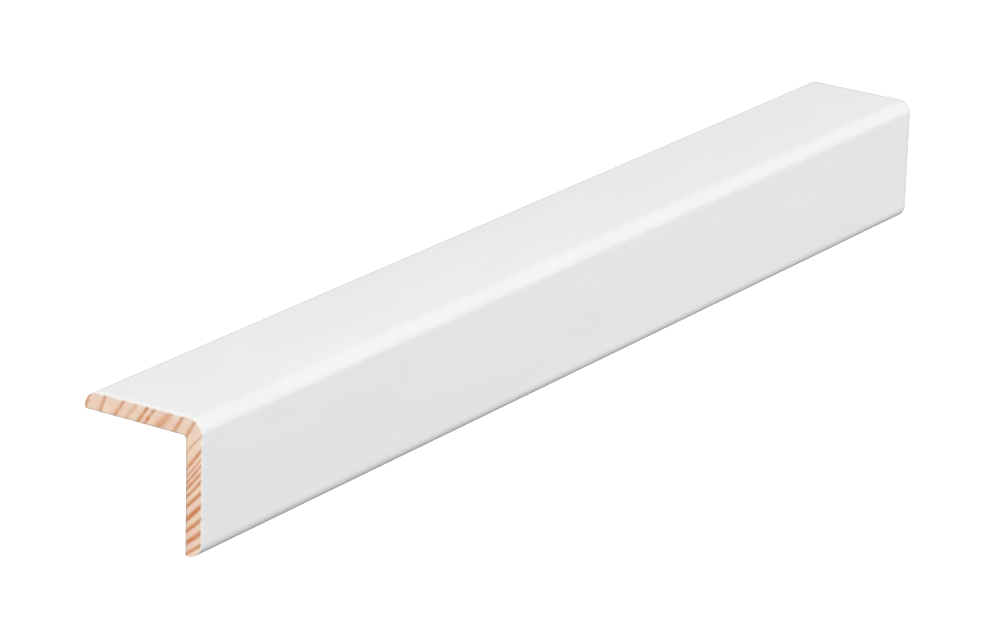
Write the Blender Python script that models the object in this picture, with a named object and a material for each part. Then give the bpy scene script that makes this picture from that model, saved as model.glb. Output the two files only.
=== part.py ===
"""A corner moulding of white-painted pine, one milled length with an L-shaped section.

Metres, +Z up. X runs along the length. Y runs from the outer side face to the edge of the
top leg. The origin is the middle of the flat back of the top leg, where the moulding is fixed.
"""
import math

import bmesh
import bpy

# Driving sizes
LENGTH = 0.312
LEG_WIDTH = 0.033  # each leg, from the outer corner to the leg's edge
THICKNESS = 0.0045
CORNER_RADIUS = 0.0034  # round on the outside, where the legs meet
INNER_CORNER_RADIUS = 0.001  # hollow at the back, where the legs meet
BACK_ARRIS_RADIUS = 0.0006  # small round on the back of each leg's edge
EDGE_FLAT = 0.0002  # flat left on each leg's edge between its two rounds
ARC_STEPS = 12  # straight runs that make up each quarter round

# Sizes and places worked out from them
EDGE_ROUND_RADIUS = THICKNESS - BACK_ARRIS_RADIUS - EDGE_FLAT
BACK_FLAT_START = THICKNESS + INNER_CORNER_RADIUS
BACK_FLAT_END = LEG_WIDTH - BACK_ARRIS_RADIUS
SIDE_Y = -(BACK_FLAT_START + BACK_FLAT_END) / 2
TOP_Z = THICKNESS
TIP_Y = SIDE_Y + LEG_WIDTH
FOOT_Z = TOP_Z - LEG_WIDTH
INNER_Y = SIDE_Y + THICKNESS
BACK_Z = TOP_Z - THICKNESS

# Colours and finishes
PAINT_COLOUR = (0.82, 0.83, 0.84, 1.0)
PAINT_ROUGHNESS = 0.35
PINE_COLOUR = (0.76, 0.56, 0.42, 1.0)
PINE_ROUGHNESS = 0.7

SHARP_ANGLE = math.radians(30)
# A painted face looks at least a little towards the outer corner's side
BACK_LIMIT = -0.999


def clear_scene():
    """Takes away every object that the file holds."""
    for item in list(bpy.data.objects):
        bpy.data.objects.remove(item, do_unlink=True)


def quarter_round(centre_y, centre_z, radius, start, turn):
    """Points of a quarter circle, from its start angle, in degrees from +Y towards +Z."""
    points = []
    for step in range(ARC_STEPS + 1):
        angle = math.radians(start + turn * step / ARC_STEPS)
        points.append((centre_y + radius * math.cos(angle), centre_z + radius * math.sin(angle)))
    return points


def section():
    """The outline of the L, from the top of the outer corner down the side and round the back."""
    outer_corner = quarter_round(SIDE_Y + CORNER_RADIUS, TOP_Z - CORNER_RADIUS, CORNER_RADIUS, 90, 90)
    foot_round = quarter_round(
        SIDE_Y + EDGE_ROUND_RADIUS, FOOT_Z + EDGE_ROUND_RADIUS, EDGE_ROUND_RADIUS, 180, 90)
    foot_arris = quarter_round(
        INNER_Y - BACK_ARRIS_RADIUS, FOOT_Z + BACK_ARRIS_RADIUS, BACK_ARRIS_RADIUS, 270, 90)
    inner_corner = quarter_round(
        INNER_Y + INNER_CORNER_RADIUS, BACK_Z - INNER_CORNER_RADIUS, INNER_CORNER_RADIUS, 180, -90)
    tip_arris = quarter_round(
        TIP_Y - BACK_ARRIS_RADIUS, BACK_Z + BACK_ARRIS_RADIUS, BACK_ARRIS_RADIUS, 270, 90)
    tip_round = quarter_round(
        TIP_Y - EDGE_ROUND_RADIUS, TOP_Z - EDGE_ROUND_RADIUS, EDGE_ROUND_RADIUS, 0, 90)
    return outer_corner + foot_round + foot_arris + inner_corner + tip_arris + tip_round


def material(name, colour, roughness):
    """A plain Principled BSDF finish."""
    finish = bpy.data.materials.new(name)
    finish.use_nodes = True
    shader = finish.node_tree.nodes["Principled BSDF"]
    shader.inputs["Base Color"].default_value = colour
    shader.inputs["Roughness"].default_value = roughness
    shader.inputs["Metallic"].default_value = 0.0
    return finish


def painted(normal):
    """True for the faces and rounds that show on the wall, false for the back and the cut ends."""
    return abs(normal.x) < 0.5 and normal.z - normal.y > BACK_LIMIT


def build_moulding():
    """The section drawn at the near end and extruded to the far end."""
    shape = bmesh.new()
    near_x = -LENGTH / 2
    corners = [shape.verts.new((near_x, y, z)) for y, z in section()]
    near_end = shape.faces.new(corners)
    extruded = bmesh.ops.extrude_face_region(shape, geom=[near_end])
    far_corners = [item for item in extruded["geom"] if isinstance(item, bmesh.types.BMVert)]
    bmesh.ops.translate(shape, verts=far_corners, vec=(LENGTH, 0, 0))
    bmesh.ops.recalc_face_normals(shape, faces=shape.faces)
    shape.normal_update()
    for face in shape.faces:
        face.material_index = 0 if painted(face.normal) else 1

    mesh = bpy.data.meshes.new("corner_moulding")
    shape.to_mesh(mesh)
    shape.free()
    mesh.materials.append(material("white_paint", PAINT_COLOUR, PAINT_ROUGHNESS))
    mesh.materials.append(material("bare_pine", PINE_COLOUR, PINE_ROUGHNESS))
    mesh.shade_smooth()
    mesh.set_sharp_from_angle(angle=SHARP_ANGLE)

    moulding = bpy.data.objects.new("corner_moulding", mesh)
    bpy.context.scene.collection.objects.link(moulding)
    return moulding


clear_scene()
build_moulding()
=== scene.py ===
"""The looks of the corner moulding: satin white paint over pine, sawn square at both ends."""
import math

import bpy
import numpy as np
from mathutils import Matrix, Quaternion, Vector, noise


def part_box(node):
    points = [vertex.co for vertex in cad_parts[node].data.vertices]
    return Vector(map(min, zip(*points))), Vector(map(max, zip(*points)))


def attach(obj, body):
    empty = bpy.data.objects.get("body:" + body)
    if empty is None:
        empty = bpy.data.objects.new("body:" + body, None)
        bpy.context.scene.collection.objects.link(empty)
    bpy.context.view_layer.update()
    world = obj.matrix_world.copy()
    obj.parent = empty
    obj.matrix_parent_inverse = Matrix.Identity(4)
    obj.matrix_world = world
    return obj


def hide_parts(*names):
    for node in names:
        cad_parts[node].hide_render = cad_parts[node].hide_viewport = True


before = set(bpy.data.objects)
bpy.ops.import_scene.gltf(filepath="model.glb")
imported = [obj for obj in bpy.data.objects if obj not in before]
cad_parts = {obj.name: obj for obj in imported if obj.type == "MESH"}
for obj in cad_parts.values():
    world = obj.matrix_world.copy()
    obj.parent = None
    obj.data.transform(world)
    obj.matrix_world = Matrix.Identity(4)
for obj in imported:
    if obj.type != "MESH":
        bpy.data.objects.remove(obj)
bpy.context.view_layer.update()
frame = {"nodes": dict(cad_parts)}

# The solid that the finished moulding stands for, and the sizes that follow from it
NODE, = frame["nodes"]
low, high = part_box(NODE)
MM = 0.001
LEG_WIDTH = high.y - low.y
THICKNESS = high.z  # the back of the top leg is at z = 0

# Rounds of the section, as in the solid
CORNER_RADIUS = 3.4 * MM
INNER_CORNER_RADIUS = 1.0 * MM
BACK_ARRIS_RADIUS = 0.6 * MM
EDGE_FLAT = 0.2 * MM
EDGE_ROUND_RADIUS = THICKNESS - BACK_ARRIS_RADIUS - EDGE_FLAT

# Mesh spacing and shading
ARC_POINTS = 32  # points along each quarter round before it is spaced out evenly
RUNG_STEP = 0.165 * MM  # between neighbouring points round the section
RUNG_POINTS = 26  # points across the wall on a cut end
END_STATIONS = (1.6 * MM, 2.2 * MM, 3.0 * MM, 4.0 * MM, 5.5 * MM, 8.0 * MM)  # from each cut
STATION_STEP = 7.0 * MM  # between the rings of points along the rest of the length
SHARP_ANGLE = math.radians(50)

# The broken edge round each cut, where paint and fibres came away under the saw: how far it
# reaches into the cut end and along the piece, on the side leg, its foot, the top leg and
# the corner
EASE_STEPS = 3
SIDE_EASE = (0.33 * MM, 0.62 * MM)
FOOT_EASE = (0.34 * MM, 0.20 * MM)
TOP_EASE = (0.45 * MM, 0.24 * MM)
CORNER_EASE = (0.62 * MM, 0.45 * MM)
LEAST_EASE = 0.03 * MM  # on the back, and on the round of the top leg's edge
NEAR_EASE = 1.0
FAR_EASE = 0.25  # the far end's ease, as a share of the near end's
EASE_SWING = 1.1  # how much of the ease the bites take or leave
EASE_RANGE = (0.15, 1.9)  # the least and the most of it that they may leave
LATEWOOD_HOLD = 0.3  # how much less of it breaks away where a hard ring meets the edge
EASE_SMOOTHING = 3  # neighbouring points of the outline whose ease is averaged
EASE_FADE = (1.0 * MM, 2.8 * MM)  # how far from the paint's end the ease starts and is whole
CHIP_SIZE = 1.3 * MM  # length of the bites along the broken edge
SMALL_CHIPS = 0.4  # the size of the small bites among them, as a share of it
SMALL_CHIP_SWING = 0.5
BACK_SHADE_REACH = 0.60 * MM  # how far the painted shade along the cut ends' back edges reaches in from them
SOAK_REACH = 1.5 * MM  # how far the primer soaked in from the painted edges
CORNER_SOAK = 3.5 * MM  # how much further it soaked in at the outer corner, from two faces
CORNER_SOAK_SIZE = 8.0 * MM  # how far from the corner that has died out

# Relief, always into the wood
PLANER_SWING = 0.02 * MM
PLANER_LENGTH = 28 * MM
PLANER_WIDTH = 14 * MM
EARLYWOOD_DEPTH = 0.05 * MM
SAW_MARK_DEPTH = 0.018 * MM
SAW_MARK_PITCH = 0.9 * MM
SAW_CENTRE = (95 * MM, -80 * MM)  # the blade's axis, from the outer corner
RELIEF_MARGIN = 0.3 * MM  # the relief dies out this near the edge of a cut end

# The latewood of each growth ring on the near cut end, in millimetres and degrees: where it
# meets the outside face, from the outer corner, how far it leans from square to the top
# face, half its width, and how dark it is. The first list crosses the top leg, from its
# edge to the corner, and the second the side leg, from the corner to its foot.
TOP_RINGS = (
    (31.3, 18.9, 0.50, 0.58),
    (27.0, 19.7, 0.46, 0.60),
    (21.6, 33.6, 0.48, 0.59),
    (18.0, 36.8, 0.44, 0.47),
    (15.0, 34.5, 0.40, 0.84),
    (13.0, 35.5, 0.44, 0.66),
    (8.5, 41.9, 0.90, 0.60),
    (5.1, 32.6, 0.46, 0.67),
    (1.6, 30.8, 0.42, 0.63),
)
SIDE_RINGS = (
    (3.1, 38.9, 0.23, 0.58),
    (6.8, 37.6, 0.34, 0.89),
    (8.9, 39.2, 0.22, 0.68),
    (10.3, 38.5, 0.25, 0.78),
    (12.1, 40.5, 0.30, 0.86),
    (14.2, 41.4, 0.33, 0.80),
    (16.9, 44.7, 0.38, 0.90),
    (20.0, 44.0, 0.47, 1.12),
    (23.1, 46.6, 0.41, 0.98),
    (26.3, 49.6, 0.49, 1.08),
    (29.3, 53.2, 0.36, 0.90),
)
# Resin stains that fill out two of those rings: a place in the same millimetres, half the
# length along the ring, half the width, how far it leans, and how dark it is
RING_STAINS = (
    ((15.2, 2.9), 1.0, 0.48, 35.5, 1.0),
    ((11.1, 3.0), 1.5, 0.90, 41.9, 0.70),
)
RING_SPREAD = 1.35  # the soft edges of the latewood, against its half width
SHARP_SIDE = 0.7  # the side where the next year's wood begins is narrower by this much
STAIN_DEPTH = 12 * MM  # how far along the piece the stains reach
RING_WOBBLE = 0.09 * MM
RING_WOBBLE_SIZE = 2.4 * MM
RING_UNEVEN = 0.36  # how much the rings darken and fade along their lines
RING_PATCH = 1.5 * MM
ALONG_THE_GRAIN = 20  # how much longer than wide the wobbles and patches are
GRAIN_DRIFT = 1.5 * MM  # how far the rings wander across the legs along the piece
GRAIN_DRIFT_LENGTH = 230 * MM
SLOW_DRIFT = 2.0  # turns of the slow wander over that length, in radians
QUICK_DRIFT = 6.1
QUICK_DRIFT_SHARE = 0.35

# Slots of the materials in the mesh
PAINT, EASED, BACK, END = range(4)
BARE_DISTANCE = 5 * MM  # cut ends count as well clear of the paint

# Paint, with its painted shade towards the edges, on the rounds to the back, at the far cut and on
# the corner round
PAINT_WHITE = (0.815, 0.815, 0.815, 1)
PAINT_WHITE_DULL = (0.802, 0.802, 0.804, 1)
SHADE_AT_TOP_EDGE = 0.045  # painted shade: how much darker the paint is at the top leg's edge than at the corner
# painted shade: how much darker the paint is at the side leg's foot than at the corner
SHADE_AT_FOOT = 0.015
BACK_ROUND_SHADE_REACH = (-6.1, -3.9)  # painted shade on the rounds that turn towards the back: where it starts and is whole, in mm before the paint's end
BACK_ROUND_SHADE = 0.72
CORNER_SHADE_LINE = (1.5 * MM, 0.45 * MM)  # painted shade on the corner round, which narrows its highlight: its line, in from the side and down from the top
CORNER_SHADE_REACH = (0.5 * MM, 2.4 * MM)
CORNER_SHADE = 0.95
FAR_CUT_SHADE_REACH = 2.0 * MM  # how far from the far cut the paint takes a faint painted shade
FAR_CUT_SHADE = 0.06

# The broken edge, from wood through cream filler to paint
EDGE_CREAM = (0.83, 0.72, 0.62, 1)
EDGE_PALE = (0.82, 0.77, 0.71, 1)
EDGE_UNEVEN = 0.7  # how raggedly the wood, the cream and the paint meet
SIDE_RING_SHOWS = 0.12  # how much further the dark rings reach into the cream
TOP_RING_SHOWS = 0.35
CREAM_STARTS = (-0.15, 0.35)  # shares of the way from the cut end to whole paint
PAINT_STARTS = (0.6, 1.0)
TOP_EDGE_SHADE = 0.89  # painted shade: the edge is darker by this factor on the top leg, which faces the light

# Wood, what the primer did to the cut ends, and the grey of their ring tips and of the painted
# shade along their back edges
SIDE_SOAK = 0.12  # how much of the primer's colour the wood takes next to the paint
TOP_SOAK = 0.34
SOAK_CHANGE = (9.0 * MM, 4.0 * MM)  # how far below the top face one gives way to the other
TIP_GRIME = 0.42  # how much the smear darkens the rings' tips next to the paint
END_EARLYWOOD = (0.825, 0.585, 0.465, 1)
END_EARLYWOOD_PALE = (0.84, 0.645, 0.48, 1)
END_MIDWOOD = (0.71, 0.375, 0.22, 1)
END_LATEWOOD = (0.58, 0.21, 0.07, 1)
# the grey of the ring tips next to the paint, and of the painted shade along the cut ends' back
# edges
GREY_OF_TIPS_AND_SHADE = (0.38, 0.35, 0.32, 1)
BACK_EARLYWOOD = (0.81, 0.61, 0.44, 1)
BACK_EARLYWOOD_PALE = (0.84, 0.68, 0.51, 1)
BACK_MIDWOOD = (0.71, 0.43, 0.25, 1)
BACK_LATEWOOD = (0.57, 0.28, 0.13, 1)

# Faint marks in the paint: a place in the frame, a radius and how much they darken it
BLEMISHES = (
    ((-0.0826, -0.0143, high.z), 2.4 * MM, 0.03),
    ((0.1416, low.y, -0.0149), 2.2 * MM, 0.04),
)
BLEMISH_REACH = (0.5, 1.4)  # where a mark starts to fade and has gone, in its radii

# Noise textures, in features to the metre along X, Y and Z
PAINT_CLOUDS = (28.0, 90.0, 90.0)
PAINT_GLOSS_PATCHES = (60.0, 400.0, 400.0)
PAINT_GRAIN = (12.0, 1400.0, 1400.0)
PAINT_SPRAY = (2600.0, 2600.0, 2600.0)
BLEMISH_EDGE = (900.0, 900.0, 900.0)
END_PATCHES = (420.0, 380.0, 460.0)
END_PORES = (500.0, 5200.0, 5200.0)
END_SCRATCHES = (900.0, 2600.0, 7800.0)
BACK_SHADE_PATCHES = (700.0, 700.0, 700.0)
EDGE_PATCHES = (1500.0, 1500.0, 1500.0)
EDGE_GRAIN = (2200.0, 2200.0, 2200.0)
EDGE_CRUMB = (4000.0, 4000.0, 4000.0)
BACK_PATCHES = (14.0, 260.0, 260.0)
BACK_FIBRES = (70.0, 5200.0, 5200.0)
BACK_RIPPLES = (420.0, 8.0, 8.0)
PAINT_CREEP = (160.0, 900.0, 900.0)

# Noise values between which those textures change over
PAINT_CLOUD_EDGES = (0.35, 0.65)
GLOSS_EDGES = (0.3, 0.7)
WOOD_PATCH_EDGES = (0.38, 0.62)
CREAM_PATCH_EDGES = (0.35, 0.65)
PORE_EDGES = (0.55, 0.8)
FIBRE_EDGES = (0.5, 0.8)
BACK_SHADE_EDGES = (0.3, 0.6)

# Bump, finer than the mesh
PAINT_GRAIN_DEPTH = 0.012 * MM
PAINT_SPRAY_DEPTH = 0.006 * MM
END_SCRATCH_DEPTH = 0.05 * MM
EDGE_CRUMB_DEPTH = 0.04 * MM
BACK_FIBRE_DEPTH = 0.05 * MM
BACK_RIPPLE_DEPTH = 0.02 * MM

# Gloss, and how far the patches, rings, pores and the painted shade along the back edges go
PAINT_ROUGHNESS = (0.36, 0.44)
PAINT_IOR = 1.5
EDGE_ROUGHNESS = 0.6
END_ROUGHNESS = (0.62, 0.78)
BACK_ROUGHNESS = (0.42, 0.66)  # where paint crept over it, and bare
MIDDLE_TONE = (0.06, 0.6)  # ring darkness where the middle tone begins and is whole
LATE_TONE = (0.5, 1.05)
PORES_SHOW = 0.35
FIBRES_SHOW = 0.4
BACK_SHADE_SHOWS = (0.3, 0.85)
BACK_SHADE_ON_RINGS = 0.25
PRIMER_ON_RINGS = (0.1, 0.7)  # ring darkness where the primer begins to fail and doesn't take
TIP_SHARPNESS = 3.0  # how quickly the tips lose that smear away from the paint
CREEP_REACH = 2.2  # how far the paint crept past its end, in mm, where the noise is 1
CREEP_LINE = (-0.9, -0.6)  # how far short of that it gives way to bare wood, in mm

# Light, stage and camera
END_LIGHT = dict(
    direction=(-1.0, 0.1, 0.27), distance=1.5, size=0.7, power=6.8, colour=(1.0, 1.0, 1.0))
SIDE_LIGHT = dict(
    direction=(0.20, -1.0, 0.10), distance=1.0, size=0.7, power=3.1, colour=(0.90, 0.96, 1.0))
SKY_BRIGHT_SIDE = (-0.20, -0.30, 1.0)
SKY_DIM = (0.05, 0.05, 0.053, 1)
SKY_BRIGHT = (1.185, 1.185, 1.185, 1)
FLOOR_DROP = 0.9
FLOOR_RADIUS = 4.5
FLOOR_SWEEP = 1.5
STAGE_HEIGHT = 9.0
SWEEP_STEPS = 8
STAGE_SIDES = 64
FLOOR_WHITE = (0.9, 0.9, 0.9, 1)
FLOOR_ROUGHNESS = 0.9
FLOOR_GLOW = 0.7
IMAGE_WIDTH = 1000
FOCAL_PIXELS = 4995.4
SENSOR_WIDTH = 36.0
CAMERA_FROM_CORNER = (-0.81709, -0.62332, 0.38507)  # from the near end of the outer corner
CAMERA_HEADING = math.radians(33.735)  # from +X towards +Y
CAMERA_DIP = math.radians(19.251)
CAMERA_ROLL = math.radians(1.630)
CLIP_START = 0.01
CLIP_END = 100


# The section, in distances from the outer side face and below the top face

def arc(centre, radius, start, end):
    """Points of a circle round a centre, from one angle to another in degrees."""
    angles = np.radians(np.linspace(start, end, ARC_POINTS))
    return np.array(centre) + radius * np.column_stack([np.cos(angles), -np.sin(angles)])


def spaced(points, count):
    """The same line with count even steps along it."""
    steps = np.linalg.norm(np.diff(points, axis=0), axis=1)
    travelled = np.concatenate([[0], np.cumsum(steps)])
    wanted = np.linspace(0, travelled[-1], count + 1)
    return np.column_stack([np.interp(wanted, travelled, points[:, axis]) for axis in (0, 1)])


def half_section():
    """Matching points on the outside and the back, from the top leg's edge to the corner."""
    edge_centre = (LEG_WIDTH - EDGE_ROUND_RADIUS, EDGE_ROUND_RADIUS)
    arris_centre = (LEG_WIDTH - BACK_ARRIS_RADIUS, THICKNESS - BACK_ARRIS_RADIUS)
    fillet = THICKNESS + INNER_CORNER_RADIUS
    tip = [[LEG_WIDTH, EDGE_ROUND_RADIUS + EDGE_FLAT / 2]]
    arris_angle = math.degrees(math.acos(1 - BACK_ARRIS_RADIUS / EDGE_ROUND_RADIUS))
    pairs = (
        (np.vstack([tip, arc(edge_centre, EDGE_ROUND_RADIUS, 0, arris_angle)]),
         np.vstack([tip, arc(arris_centre, BACK_ARRIS_RADIUS, 0, -90)])),
        (arc(edge_centre, EDGE_ROUND_RADIUS, arris_angle, 90),
         np.array([[LEG_WIDTH - BACK_ARRIS_RADIUS, THICKNESS],
                   [LEG_WIDTH - EDGE_ROUND_RADIUS, THICKNESS]])),
        (np.array([[LEG_WIDTH - EDGE_ROUND_RADIUS, 0], [fillet, 0]]),
         np.array([[LEG_WIDTH - EDGE_ROUND_RADIUS, THICKNESS], [fillet, THICKNESS]])),
        (np.vstack([[[fillet, 0]], arc((CORNER_RADIUS, CORNER_RADIUS), CORNER_RADIUS, 90, 135)]),
         arc((fillet, fillet), INNER_CORNER_RADIUS, 90, 135)),
    )
    outside, back = [], []
    for outer, inner in pairs:
        length = np.linalg.norm(np.diff(outer, axis=0), axis=1).sum()
        count = max(2, round(length / RUNG_STEP))
        outside.append(spaced(outer, count)[:-1])
        back.append(spaced(inner, count)[:-1])
    outside.append(pairs[-1][0][-1:])
    back.append(pairs[-1][1][-1:])
    return np.vstack(outside), np.vstack(back)


def whole_section():
    """The half from the top leg's edge, and its mirror image down to the side leg's foot."""
    outside, back = half_section()
    outside = np.vstack([outside, outside[-2::-1, ::-1]])
    back = np.vstack([back, back[-2::-1, ::-1]])
    return outside, back


def outward_normals(loop):
    """Unit normals of a closed line, away from what it encloses."""
    along = np.roll(loop, -1, axis=0) - np.roll(loop, 1, axis=0)
    normals = np.column_stack([along[:, 1], -along[:, 0]])
    normals /= np.linalg.norm(normals, axis=1, keepdims=True)
    following = np.roll(loop, -1, axis=0)
    area = (loop[:, 0] * following[:, 1] - following[:, 0] * loop[:, 1]).sum()
    return normals if area > 0 else -normals


def paint_distance(outside, back):
    """How far each point of the closed outline lies past the end of the paint, below 0 on it."""
    def from_edge(line):
        steps = np.linalg.norm(np.diff(line, axis=0), axis=1)
        travelled = np.concatenate([[0], np.cumsum(steps)])
        return np.minimum(travelled, travelled[-1] - travelled)
    arris = BACK_ARRIS_RADIUS * math.pi / 2
    return np.concatenate([-from_edge(outside) - arris, from_edge(back)[-2:0:-1] - arris])


# Wood

def drift(x):
    """How far the rings have wandered at a place along the piece, none at the near end."""
    turn = (x - low.x) / GRAIN_DRIFT_LENGTH
    slow, quick = np.sin(SLOW_DRIFT * turn), np.sin(QUICK_DRIFT * turn)
    return GRAIN_DRIFT * (slow + QUICK_DRIFT_SHARE * quick)


def latewood(u, v, x):
    """How much latewood there is, from 0 to about 1, at places in the section and along X."""
    u = u + drift(x)
    v = v + drift(x)
    amount = np.zeros_like(u)
    top = [((place * MM, 0.0), lean, width, depth) for place, lean, width, depth in TOP_RINGS]
    side = [((0.0, place * MM), lean, width, depth) for place, lean, width, depth in SIDE_RINGS]
    for (start_u, start_v), lean, width, depth in top + side:
        angle = math.radians(lean)
        offset = (u - start_u) * math.cos(angle) - (v - start_v) * math.sin(angle)
        spread = RING_SPREAD * width * MM * np.where(offset > 0, 1.0, SHARP_SIDE)
        amount = np.maximum(amount, depth * np.exp(-(offset / spread) ** 2))
    for (stain_u, stain_v), half_length, half_width, lean, depth in RING_STAINS:
        angle = math.radians(lean)
        over, down = u - stain_u * MM, v - stain_v * MM
        across = (over * math.cos(angle) - down * math.sin(angle)) / (half_width * MM)
        along = (over * math.sin(angle) + down * math.cos(angle)) / (half_length * MM)
        lengthwise = (x - low.x) / STAIN_DEPTH
        amount = np.maximum(amount, depth * np.exp(-across ** 2 - along ** 4 - lengthwise ** 2))
    return amount


def rough(places, sizes):
    """Smooth noise from -1 to 1 at places, with a size for each axis."""
    scaled = np.asarray(places) / np.asarray(sizes)
    return np.array([noise.noise(Vector(place)) for place in scaled])


# The moulding as one closed mesh

def smoothed(values):
    """Each value round the outline, averaged with its neighbours."""
    window = np.ones(EASE_SMOOTHING) / EASE_SMOOTHING
    padded = np.concatenate([values[-EASE_SMOOTHING:], values, values[:EASE_SMOOTHING]])
    return np.convolve(padded, window, mode="same")[EASE_SMOOTHING:-EASE_SMOOTHING]


def broken_edge(loop, normals, distance, end_x, share):
    """How far a cut's edge is broken back at each point, into the end and along the piece."""
    side, top = np.clip(-normals.T, 0, 1) ** 2
    foot = np.clip(normals[:, 1], 0, 1) ** 2
    corner = 4 * side * top
    places = np.column_stack([loop, np.full(len(loop), end_x)])
    bites = rough(places, [CHIP_SIZE] * 3)
    bites += SMALL_CHIP_SWING * rough(places, [SMALL_CHIPS * CHIP_SIZE] * 3)
    ring = latewood(loop[:, 0], loop[:, 1], end_x)
    uneven = np.clip((1 + EASE_SWING * bites) * (1 - LATEWOOD_HOLD * ring), *EASE_RANGE)
    uneven *= share * np.interp(-distance, EASE_FADE, (0, 1))
    both = []
    for at_side, at_foot, at_top, at_corner in zip(SIDE_EASE, FOOT_EASE, TOP_EASE, CORNER_EASE):
        level = at_side * side + at_foot * foot + at_top * top
        level += (at_corner - (at_side + at_top) / 2) * corner
        both.append(smoothed(LEAST_EASE + level * uneven))
    return both


def eased_rows(ease, end_x, inward):
    """The quarter round of a broken edge, from the cut face to the plain length."""
    into, along = ease
    rows = []
    for angle in np.linspace(0, math.pi / 2, EASE_STEPS + 1):
        x = end_x + inward * along * (1 - math.cos(angle))
        rows.append((x, into * (1 - math.sin(angle))))
    return rows


def stations(near_ease, far_ease):
    """For each ring of points along the piece, where it lies along X and how far it is set in."""
    plain_start = low.x + END_STATIONS[-1]
    plain_end = high.x - END_STATIONS[-1]
    middle = [low.x + place for place in END_STATIONS[:-1]]
    middle += list(np.linspace(
        plain_start, plain_end, round((plain_end - plain_start) / STATION_STEP)))
    middle += [high.x - place for place in END_STATIONS[-2::-1]]
    still = np.zeros_like(near_ease[0])
    rows = eased_rows(near_ease, low.x, 1)
    rows += [(still + x, still) for x in middle]
    rows += eased_rows(far_ease, high.x, -1)[::-1]
    return rows


def to_frame(section):
    """Places in the section and along the piece, as points of the shared frame."""
    u, v, x = section.T
    return np.column_stack([x, low.y + u, high.z - v])


class Draft:
    """The vertices and faces of the moulding while they are gathered."""

    def __init__(self):
        self.section = []
        self.stored = {"past_paint": [], "saw_grime": [], "near_paint": [], "paint_cover": []}
        self.count = 0
        self.faces = []
        self.slots = []

    def add_points(self, section, **stored):
        """Takes in some places with what is stored at each, and says what the first's number is."""
        first = self.count
        self.count += len(section)
        self.section.append(section)
        for name, values in stored.items():
            self.stored[name].append(np.broadcast_to(values, len(section)))
        return first

    def add_face(self, corners, slot):
        """Takes in a face by its vertices' numbers, with its material's slot."""
        self.faces.append(corners)
        self.slots.append(slot)


def add_skin(draft, loop, normals, distance, rows):
    """The long outside of the moulding, ring by ring, with the broken edges at its ends."""
    last = len(rows) - 1
    for row, (x, inset) in enumerate(rows):
        planed = 0.5 + 0.5 * rough(
            np.column_stack([x, loop]), (PLANER_LENGTH, PLANER_WIDTH, PLANER_WIDTH))
        moved = loop - normals * (inset + PLANER_SWING * planed)[:, None]
        # saw_grime is whole on the back, for the painted shade along the cut ends' back edges
        draft.add_points(
            np.column_stack([moved, x]),
            past_paint=distance / MM,
            saw_grime=distance > 0,
            near_paint=distance < 0,
            paint_cover=min(row / EASE_STEPS, (last - row) / EASE_STEPS, 1.0))
    size = len(loop)
    painted = (distance < 0) & (np.roll(distance, -1) < 0)
    for row in range(last):
        on_ease = row < EASE_STEPS or row >= last - EASE_STEPS
        if_painted, if_bare = (EASED, END) if on_ease else (PAINT, BACK)
        for k in range(size):
            a, b = row * size + k, row * size + (k + 1) % size
            draft.add_face((a, b, b + size, a + size), if_painted if painted[k] else if_bare)


def end_relief(section, reach):
    """How deep the sawn face lies at places on a cut end."""
    u, v, x = section.T
    ring = np.minimum(latewood(u, v, x), 1)
    from_axis = np.hypot(u - SAW_CENTRE[0], v - SAW_CENTRE[1])
    saw = 0.5 + 0.5 * np.sin(2 * math.pi * from_axis / SAW_MARK_PITCH)
    fade = np.clip(reach / RELIEF_MARGIN, 0, 1)
    return fade * (EARLYWOOD_DEPTH * (1 - ring) + SAW_MARK_DEPTH * saw)


def add_end_points(draft, starts, ends, inward):
    """Places inside a cut end, in rungs that run across the wall from its outside to its back."""
    weights = np.arange(1, RUNG_POINTS - 1) / (RUNG_POINTS - 1)
    across = ends - starts
    wall = np.linalg.norm(across, axis=1)[:, None]
    from_outside = (wall * weights).ravel()
    from_back = (wall * (1 - weights)).ravel()
    section = (starts[:, None] + across[:, None] * weights[:, None]).reshape(-1, 3)
    section[:, 2] += inward * end_relief(section, np.minimum(from_outside, from_back))
    at_corner = np.clip(1 - np.hypot(section[:, 0], section[:, 1]) / CORNER_SOAK_SIZE, 0, 1)
    soak_reach = SOAK_REACH + CORNER_SOAK * at_corner
    # saw_grime: the painted shade along the back edges, fading in from them
    return draft.add_points(
        section,
        past_paint=BARE_DISTANCE / MM,
        saw_grime=np.clip(1 - from_back / BACK_SHADE_REACH, 0, 1),
        near_paint=np.clip(1 - from_outside / soak_reach, 0, 1),
        paint_cover=0.0)


def add_end(draft, rungs, size, row, inward):
    """The face that closes the skin at one cut end, with its relief."""
    edge = draft.section[row]
    outer = np.arange(rungs)
    inner = np.concatenate([[0], size - np.arange(1, rungs - 1), [rungs - 1]])
    first = add_end_points(draft, edge[outer[1:-1]], edge[inner[1:-1]], inward)
    numbers = np.empty((rungs, RUNG_POINTS), dtype=int)
    numbers[:, 0] = row * size + outer
    numbers[:, -1] = row * size + inner
    numbers[1:-1, 1:-1] = np.arange(first, draft.count).reshape(rungs - 2, RUNG_POINTS - 2)
    # The first and last rungs have no length: each is one point, where outside meets back
    numbers[0] = numbers[0, 0]
    numbers[-1] = numbers[-1, 0]
    for rung, following in zip(numbers[:-1].tolist(), numbers[1:].tolist()):
        for j in range(RUNG_POINTS - 1):
            corners = (rung[j], rung[j + 1], following[j + 1], following[j])
            if inward < 0:
                corners = corners[::-1]
            draft.add_face(tuple(dict.fromkeys(corners)), END)


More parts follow.
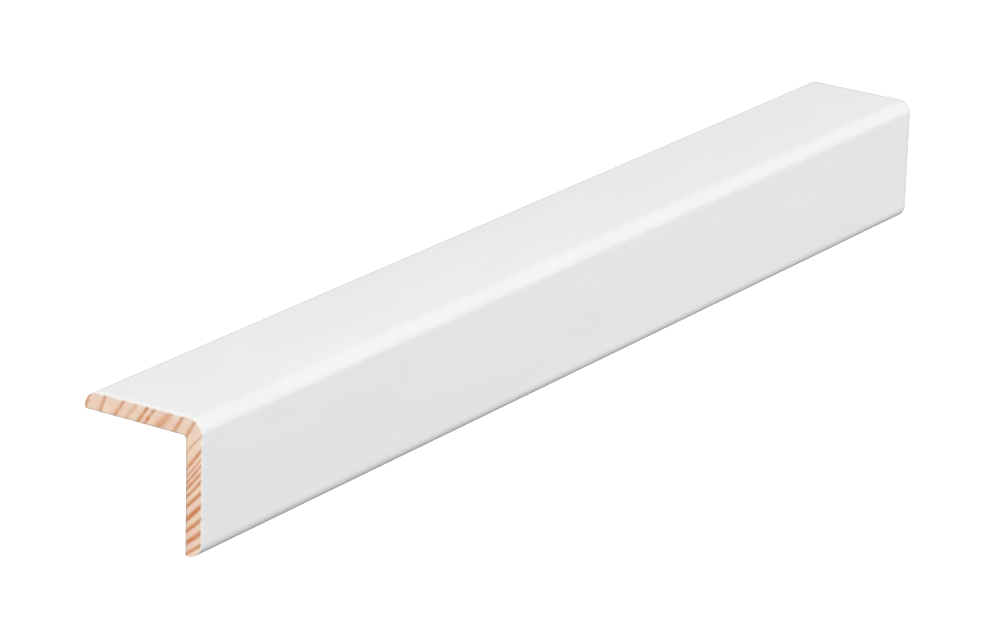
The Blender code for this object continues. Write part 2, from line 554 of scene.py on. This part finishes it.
def ring_darkness(section):
    """How dark the growth rings are at each vertex, with wobbling lines and uneven strength."""
    stretched = np.array([1, 1, ALONG_THE_GRAIN])
    wobble = RING_WOBBLE * rough(section, RING_WOBBLE_SIZE * stretched)
    rings = latewood(section[:, 0] + wobble, section[:, 1] - wobble, section[:, 2])
    return rings * (1 + RING_UNEVEN * rough(section, RING_PATCH * stretched))


def draft_moulding():
    """The skin along the length, closed by a finely meshed face at each cut end."""
    outside, back = whole_section()
    loop = np.vstack([outside, back[-2:0:-1]])
    normals = outward_normals(loop)
    distance = paint_distance(outside, back)
    rows = stations(
        broken_edge(loop, normals, distance, low.x, NEAR_EASE),
        broken_edge(loop, normals, distance, high.x, FAR_EASE))
    draft = Draft()
    add_skin(draft, loop, normals, distance, rows)
    add_end(draft, len(outside), len(loop), 0, 1)
    add_end(draft, len(outside), len(loop), len(rows) - 1, -1)
    return draft


def build_moulding():
    """The moulding as one object, with its finishes and the numbers that they read."""
    draft = draft_moulding()
    section = np.vstack(draft.section)
    mesh = bpy.data.meshes.new("painted_moulding")
    mesh.from_pydata(to_frame(section).tolist(), [], draft.faces)
    mesh.polygons.foreach_set("material_index", draft.slots)
    for finish in finishes():
        mesh.materials.append(finish)
    store(mesh, "latewood", ring_darkness(section))
    for name, values in draft.stored.items():
        store(mesh, name, np.concatenate(values))
    mesh.shade_smooth()
    mesh.set_sharp_from_angle(angle=SHARP_ANGLE)
    mesh.validate()

    moulding = bpy.data.objects.new("painted_moulding", mesh)
    bpy.context.scene.collection.objects.link(moulding)
    return moulding


def store(mesh, name, values):
    """Keeps one number for each vertex, for the materials to read."""
    layer = mesh.attributes.new(name, "FLOAT", "POINT")
    layer.data.foreach_set("value", np.asarray(values, dtype=np.float32))


# Materials

class Nodes:
    """A material's node tree, with short calls for the nodes that the finishes use."""

    def __init__(self, name):
        self.material = bpy.data.materials.new(name)
        self.material.use_nodes = True
        self.tree = self.material.node_tree
        self.shader = self.tree.nodes["Principled BSDF"]
        self.place = self.add("ShaderNodeTexCoord").outputs["Object"]

    def add(self, kind, **settings):
        """A new node, with its settings."""
        node = self.tree.nodes.new(kind)
        for name, value in settings.items():
            setattr(node, name, value)
        return node

    def put(self, socket, value):
        """Links a socket to an output, or sets its plain value."""
        if isinstance(value, bpy.types.NodeSocket):
            self.tree.links.new(value, socket)
        else:
            socket.default_value = value

    def math(self, operation, first, second=0.0, clamp=False):
        """One sum of two numbers."""
        node = self.add("ShaderNodeMath", operation=operation, use_clamp=clamp)
        self.put(node.inputs[0], first)
        self.put(node.inputs[1], second)
        return node.outputs[0]

    def axis(self, name):
        """The place in the frame along one axis."""
        node = self.add("ShaderNodeSeparateXYZ")
        self.put(node.inputs[0], self.place)
        return node.outputs[name]

    def stretched(self, scale):
        """The place in the frame, scaled by its own amount along each axis."""
        node = self.add("ShaderNodeVectorMath", operation="MULTIPLY")
        self.put(node.inputs[0], self.place)
        node.inputs[1].default_value = scale
        return node.outputs[0]

    def noise(self, scale, detail=3.0, roughness=0.5):
        """Noise from about 0 to 1, with so many features to the metre along each axis."""
        node = self.add("ShaderNodeTexNoise")
        self.put(node.inputs["Vector"], self.stretched(scale))
        node.inputs["Scale"].default_value = 1.0
        node.inputs["Detail"].default_value = detail
        node.inputs["Roughness"].default_value = roughness
        return node.outputs["Fac"]

    def stored(self, name):
        """A number that the mesh keeps for each vertex."""
        return self.add("ShaderNodeAttribute", attribute_name=name).outputs["Fac"]

    def ramp(self, value, start, end, start_to=0.0, end_to=1.0, kind="LINEAR"):
        """A change from one number to another as a value goes from start to end."""
        node = self.add("ShaderNodeMapRange", interpolation_type=kind)
        for name, number in zip(
                ("Value", "From Min", "From Max", "To Min", "To Max"),
                (value, start, end, start_to, end_to)):
            self.put(node.inputs[name], number)
        return node.outputs["Result"]

    def fade(self, value, start, end, start_to=0.0, end_to=1.0):
        """The same change, eased at both ends."""
        return self.ramp(value, start, end, start_to, end_to, "SMOOTHSTEP")

    def mix(self, factor, first, second):
        """A colour between two, by a factor from 0 to 1."""
        node = self.add("ShaderNodeMix", data_type="RGBA")
        self.put(node.inputs["Factor"], factor)
        self.put(node.inputs[6], first)
        self.put(node.inputs[7], second)
        return node.outputs[2]

    def bump(self, height, distance, base=None):
        """Shading of a fine relief, over another where there is a base."""
        node = self.add("ShaderNodeBump")
        node.inputs["Strength"].default_value = 1.0
        node.inputs["Distance"].default_value = distance
        self.put(node.inputs["Height"], height)
        if base is not None:
            self.put(node.inputs["Normal"], base)
        return node.outputs["Normal"]

    def distance(self, place, point):
        """How far a place is from a fixed point."""
        node = self.add("ShaderNodeVectorMath", operation="DISTANCE")
        self.put(node.inputs[0], place)
        node.inputs[1].default_value = point
        return node.outputs["Value"]

    def scaled(self, colour, factor):
        """A colour, darker or lighter by a factor."""
        node = self.add("ShaderNodeVectorMath", operation="SCALE")
        self.put(node.inputs[0], colour)
        self.put(node.inputs["Scale"], factor)
        return node.outputs[0]

    def set(self, name, value):
        """Sets or links one of the shader's own sockets."""
        self.put(self.shader.inputs[name], value)


def shade_and_marks(n):
    """How much the paint is darkened by painted shade towards its edges, on its rounds to the back,
    along the far cut and on the corner round, and by faint marks.
    """
    # Painted shade: darker towards the top leg's edge and towards the side leg's foot
    shade = n.math(
        "MULTIPLY",
        n.ramp(n.axis("Y"), low.y, high.y, 1.0, 1 - SHADE_AT_TOP_EDGE),
        n.ramp(n.axis("Z"), high.z, low.z, 1.0, 1 - SHADE_AT_FOOT))
    # Painted shade along the far cut
    far_cut_shade = n.fade(n.axis("X"), high.x - FAR_CUT_SHADE_REACH, high.x, 1.0, 1 - FAR_CUT_SHADE)
    shade = n.math("MULTIPLY", shade, far_cut_shade)
    # Painted shade on the rounds where the paint turns towards the back
    back_round_shade = n.fade(n.stored("past_paint"), *BACK_ROUND_SHADE_REACH, 1.0, BACK_ROUND_SHADE)
    shade = n.math("MULTIPLY", shade, back_round_shade)
    # Painted shade on the corner round, to narrow its highlight
    corner_shade_line = (0.0, low.y + CORNER_SHADE_LINE[0], high.z - CORNER_SHADE_LINE[1])
    from_line = n.distance(n.stretched((0.0, 1.0, 1.0)), corner_shade_line)
    corner_shade = n.fade(from_line, *CORNER_SHADE_REACH, CORNER_SHADE, 1.0)
    shade = n.math("MULTIPLY", shade, corner_shade)
    for place, radius, depth in BLEMISHES:
        wander = n.math("MULTIPLY", n.noise(BLEMISH_EDGE, detail=2.0), radius)
        reach = n.math("ADD", n.distance(n.place, place), wander)
        start, end = (share * radius for share in BLEMISH_REACH)
        shade = n.math("MULTIPLY", n.fade(reach, start, end, 1 - depth, 1.0), shade)
    return shade


def satin_white_paint():
    """Smooth factory paint: faint grain lines under it, a fine spray texture and few marks."""
    n = Nodes("satin_white_paint")
    cloud = n.noise(PAINT_CLOUDS, detail=2.0)
    colour = n.mix(n.fade(cloud, *PAINT_CLOUD_EDGES), PAINT_WHITE, PAINT_WHITE_DULL)
    n.set("Base Color", n.scaled(colour, shade_and_marks(n)))
    gloss = n.noise(PAINT_GLOSS_PATCHES)
    n.set("Roughness", n.fade(gloss, *GLOSS_EDGES, *PAINT_ROUGHNESS))
    n.set("IOR", PAINT_IOR)
    grain = n.bump(n.noise(PAINT_GRAIN, detail=4.0), PAINT_GRAIN_DEPTH)
    spray = n.bump(n.noise(PAINT_SPRAY, detail=2.0), PAINT_SPRAY_DEPTH, base=grain)
    n.set("Normal", spray)
    return n.material


def ring_colour(n, early, early_pale, middle, late, patch_scale):
    """Wood colour: pale earlywood in two tones, darkening through each ring's latewood."""
    ground = n.mix(n.fade(n.noise(patch_scale), *WOOD_PATCH_EDGES), early, early_pale)
    ring = n.stored("latewood")
    half = n.mix(n.ramp(ring, *MIDDLE_TONE), ground, middle)
    return n.mix(n.ramp(ring, *LATE_TONE), half, late)


def end_wood_colour(n):
    """The colours of the sawn end grain, paler and with darker ring tips next to the paint."""
    wood = ring_colour(
        n, END_EARLYWOOD, END_EARLYWOOD_PALE, END_MIDWOOD, END_LATEWOOD, END_PATCHES)
    soaked = n.stored("near_paint")
    ring = n.stored("latewood")
    side_end, top_start = (high.z - depth for depth in SOAK_CHANGE)
    share = n.ramp(n.axis("Z"), side_end, top_start, SIDE_SOAK, TOP_SOAK)
    taken = n.math("MULTIPLY", soaked, share)
    primer = n.math("MULTIPLY", taken, n.ramp(ring, *PRIMER_ON_RINGS, 1.0, 0.0))
    tips = n.math("MULTIPLY", n.math("POWER", soaked, TIP_SHARPNESS), ring)
    pale = n.mix(primer, wood, EDGE_PALE)
    return n.mix(n.math("MULTIPLY", tips, TIP_GRIME), pale, GREY_OF_TIPS_AND_SHADE)


def broken_paint_edge():
    """The edge round each cut, from bare wood through cream filler to whole paint."""
    n = Nodes("broken_paint_edge")
    patches = n.noise(EDGE_PATCHES)
    round_bottom = high.z - CORNER_RADIUS
    filler = n.mix(n.fade(patches, *CREAM_PATCH_EDGES), EDGE_CREAM, EDGE_PALE)
    # Painted shade on the top leg's broken edge, which faces the light
    shaded_filler = n.scaled(filler, n.ramp(n.axis("Z"), round_bottom, high.z, 1.0, TOP_EDGE_SHADE))
    grain = n.math("SUBTRACT", n.noise(EDGE_GRAIN), 0.5)
    grain = n.math("MULTIPLY", grain, EDGE_UNEVEN)
    ring_shows = n.ramp(n.axis("Z"), round_bottom, high.z, SIDE_RING_SHOWS, TOP_RING_SHOWS)
    rings = n.math("MULTIPLY", n.stored("latewood"), ring_shows)
    uneven = n.math("SUBTRACT", grain, rings)
    settled = n.math("SUBTRACT", 1.0, n.stored("paint_cover"))
    cover = n.math("ADD", n.stored("paint_cover"), n.math("MULTIPLY", uneven, settled))
    cream = n.mix(n.fade(cover, *CREAM_STARTS), end_wood_colour(n), shaded_filler)
    n.set("Base Color", n.mix(n.fade(cover, *PAINT_STARTS), cream, PAINT_WHITE))
    n.set("Roughness", EDGE_ROUGHNESS)
    n.set("Normal", n.bump(n.noise(EDGE_CRUMB), EDGE_CRUMB_DEPTH))
    return n.material


def sawn_end_pine():
    """End grain: growth rings, fine pores and the scratches that the saw left."""
    n = Nodes("sawn_end_pine")
    pores = n.noise(END_PORES, detail=4.0, roughness=0.7)
    pored = n.mix(n.fade(pores, *PORE_EDGES, 0.0, PORES_SHOW), end_wood_colour(n), END_MIDWOOD)
    # Painted shade along the cut end's back edges, in patches and stronger on the rings
    patches = n.fade(n.noise(BACK_SHADE_PATCHES), *BACK_SHADE_EDGES, *BACK_SHADE_SHOWS)
    on_rings = n.math("MULTIPLY", n.stored("latewood"), BACK_SHADE_ON_RINGS)
    patches = n.math("ADD", patches, on_rings)
    back_shade_mask = n.math("MULTIPLY", n.stored("saw_grime"), patches, clamp=True)
    n.set("Base Color", n.mix(back_shade_mask, pored, GREY_OF_TIPS_AND_SHADE))
    n.set("Roughness", n.fade(pores, *GLOSS_EDGES, *END_ROUGHNESS))
    n.set("Normal", n.bump(n.noise(END_SCRATCHES, detail=3.0), END_SCRATCH_DEPTH))
    return n.material


def planed_back_pine():
    """Long grain on the unpainted back, with a line of paint that crept round the edges."""
    n = Nodes("planed_back_pine")
    colour = ring_colour(
        n, BACK_EARLYWOOD, BACK_EARLYWOOD_PALE, BACK_MIDWOOD, BACK_LATEWOOD, BACK_PATCHES)
    fibres = n.noise(BACK_FIBRES, detail=4.0, roughness=0.65)
    fibred = n.mix(n.fade(fibres, *FIBRE_EDGES, 0.0, FIBRES_SHOW), colour, BACK_MIDWOOD)
    creep = n.math("MULTIPLY", n.noise(PAINT_CREEP, detail=4.0), CREEP_REACH)
    line = n.math("SUBTRACT", n.stored("past_paint"), creep)
    bare = n.fade(line, *CREEP_LINE)
    n.set("Base Color", n.mix(bare, PAINT_WHITE_DULL, fibred))
    n.set("Roughness", n.fade(bare, 0.0, 1.0, *BACK_ROUGHNESS))
    planer = n.bump(n.noise(BACK_RIPPLES, detail=1.0), BACK_RIPPLE_DEPTH)
    n.set("Normal", n.bump(fibres, BACK_FIBRE_DEPTH, base=planer))
    return n.material


def finishes():
    """The materials in the order of their slots."""
    made = {
        PAINT: satin_white_paint(),
        EASED: broken_paint_edge(),
        BACK: planed_back_pine(),
        END: sawn_end_pine(),
    }
    return [made[slot] for slot in sorted(made)]


# Stage, light and camera

def floor_outline():
    """The floor from its middle out, the sweep and the wall, as radius and height."""
    bottom = low.z - FLOOR_DROP
    outline = [(0.0, bottom), (FLOOR_RADIUS, bottom)]
    for step in range(1, SWEEP_STEPS + 1):
        angle = math.pi / 2 * step / SWEEP_STEPS
        outline.append((FLOOR_RADIUS + FLOOR_SWEEP * math.sin(angle),
                        bottom + FLOOR_SWEEP * (1 - math.cos(angle))))
    outline.append((FLOOR_RADIUS + FLOOR_SWEEP, bottom + STAGE_HEIGHT))
    outline.append((0.0, bottom + STAGE_HEIGHT))
    return outline


def pale_finish():
    """The floor's even white, with a little light of its own."""
    finish = bpy.data.materials.new("pale_floor")
    finish.use_nodes = True
    shader = finish.node_tree.nodes["Principled BSDF"]
    shader.inputs["Base Color"].default_value = FLOOR_WHITE
    shader.inputs["Roughness"].default_value = FLOOR_ROUGHNESS
    shader.inputs["Emission Color"].default_value = (1.0, 1.0, 1.0, 1)
    shader.inputs["Emission Strength"].default_value = FLOOR_GLOW
    return finish


def build_floor():
    """A plain pale floor that sweeps up into a wall all round, well below the moulding."""
    outline = floor_outline()
    points, faces = [], []
    for turn in range(STAGE_SIDES):
        angle = 2 * math.pi * turn / STAGE_SIDES
        points += [(radius * math.cos(angle), radius * math.sin(angle), z) for radius, z in outline]
        a, b = turn * len(outline), (turn + 1) % STAGE_SIDES * len(outline)
        faces += [(a + k, a + k + 1, b + k + 1, b + k) for k in range(len(outline) - 1)]
    mesh = bpy.data.meshes.new("pale_floor")
    mesh.from_pydata(points, [], faces)
    mesh.shade_smooth()
    mesh.materials.append(pale_finish())
    floor = bpy.data.objects.new("pale_floor", mesh)
    bpy.context.scene.collection.objects.link(floor)
    # The lights shine in from beyond it, and the moulding is lit by them and the sky alone
    floor.visible_diffuse = False
    floor.visible_glossy = False
    floor.visible_shadow = False
    return floor


def soft_light(name, direction, distance, size, power, colour):
    """A square light that faces the moulding from a direction."""
    data = bpy.data.lights.new(name, "AREA")
    data.shape = "SQUARE"
    data.size = size
    data.energy = power
    data.color = colour
    light = bpy.data.objects.new(name, data)
    towards = Vector(direction).normalized()
    light.location = towards * distance
    light.rotation_mode = "QUATERNION"
    light.rotation_quaternion = (-towards).to_track_quat("-Z", "Y")
    light.visible_camera = False
    bpy.context.scene.collection.objects.link(light)


def build_sky():
    """A soft sky that grows evenly from its dim side below to its bright side above."""
    world = bpy.data.worlds.new("soft_sky")
    world.use_nodes = True
    tree = world.node_tree
    background = tree.nodes["Background"]
    place = tree.nodes.new("ShaderNodeTexCoord")
    along = tree.nodes.new("ShaderNodeVectorMath")
    along.operation = "DOT_PRODUCT"
    along.inputs[1].default_value = Vector(SKY_BRIGHT_SIDE).normalized()
    spread = tree.nodes.new("ShaderNodeMapRange")
    spread.inputs["From Min"].default_value = -1
    spread.inputs["From Max"].default_value = 1
    ramp = tree.nodes.new("ShaderNodeMix")
    ramp.data_type = "RGBA"
    ramp.inputs[6].default_value = SKY_DIM
    ramp.inputs[7].default_value = SKY_BRIGHT
    tree.links.new(place.outputs["Generated"], along.inputs[0])
    tree.links.new(along.outputs["Value"], spread.inputs["Value"])
    tree.links.new(spread.outputs["Result"], ramp.inputs["Factor"])
    tree.links.new(ramp.outputs[2], background.inputs["Color"])
    bpy.context.scene.world = world


def build_camera():
    """The photograph's view: a long lens from the near end, a little above the top face."""
    data = bpy.data.cameras.new("camera")
    data.sensor_fit = "HORIZONTAL"
    data.sensor_width = SENSOR_WIDTH
    data.lens = FOCAL_PIXELS / IMAGE_WIDTH * SENSOR_WIDTH
    data.clip_start = CLIP_START
    data.clip_end = CLIP_END
    camera = bpy.data.objects.new("camera", data)
    camera.location = Vector((low.x, low.y, high.z)) + Vector(CAMERA_FROM_CORNER)
    level = math.cos(CAMERA_DIP)
    looking = Vector((
        level * math.cos(CAMERA_HEADING), level * math.sin(CAMERA_HEADING), -math.sin(CAMERA_DIP)))
    camera.rotation_mode = "QUATERNION"
    camera.rotation_quaternion = (
        looking.to_track_quat("-Z", "Y") @ Quaternion((0, 0, 1), CAMERA_ROLL))
    bpy.context.scene.collection.objects.link(camera)
    bpy.context.scene.camera = camera


build_camera()
build_sky()
soft_light("end_light", **END_LIGHT)
soft_light("side_light", **SIDE_LIGHT)
build_floor()
moulding = build_moulding()
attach(moulding, "root")
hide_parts(NODE)
bpy.context.scene.view_settings.view_transform = "Standard"
